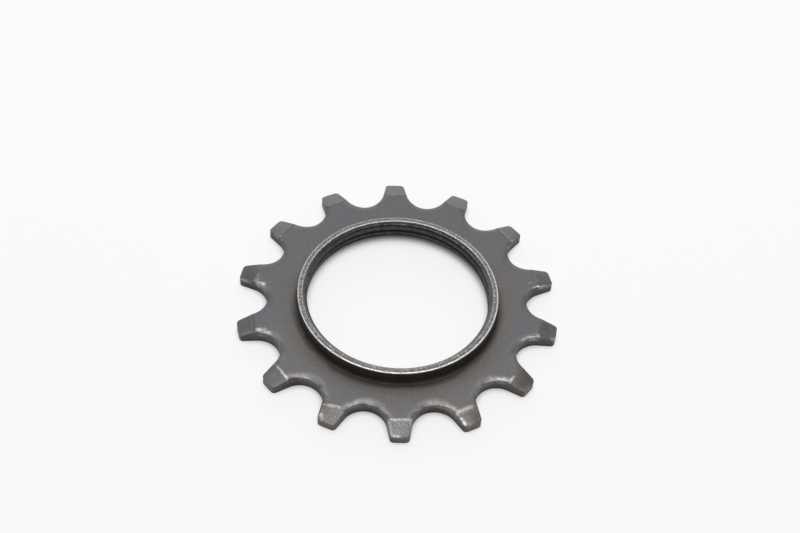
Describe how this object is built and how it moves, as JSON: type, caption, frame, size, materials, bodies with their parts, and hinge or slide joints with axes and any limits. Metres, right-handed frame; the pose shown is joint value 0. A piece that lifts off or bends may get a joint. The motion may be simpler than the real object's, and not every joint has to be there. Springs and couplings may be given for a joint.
{
  "type": "bicycle sprocket",
  "caption": "Toothed steel ring for a half-inch pitch bicycle chain, with rounded roller gaps, teeth bevelled on one side, and a raised collar round a threaded bore.",
  "frame": {"origin": "on the bore axis, in the plane of the flat underside", "axes": "+Z along the bore axis, up through the collar; +X through the middle of a roller gap; a tooth is centred on +Y"},
  "size_m": [0.0594, 0.0606, 0.0049],
  "materials": {
    "blackened_steel": "blackened by oxide, satin, worn bright along its edges"
  },
  "bodies": {
    "root": {"sprocket": "blackened_steel"}
  },
  "joints": []
}
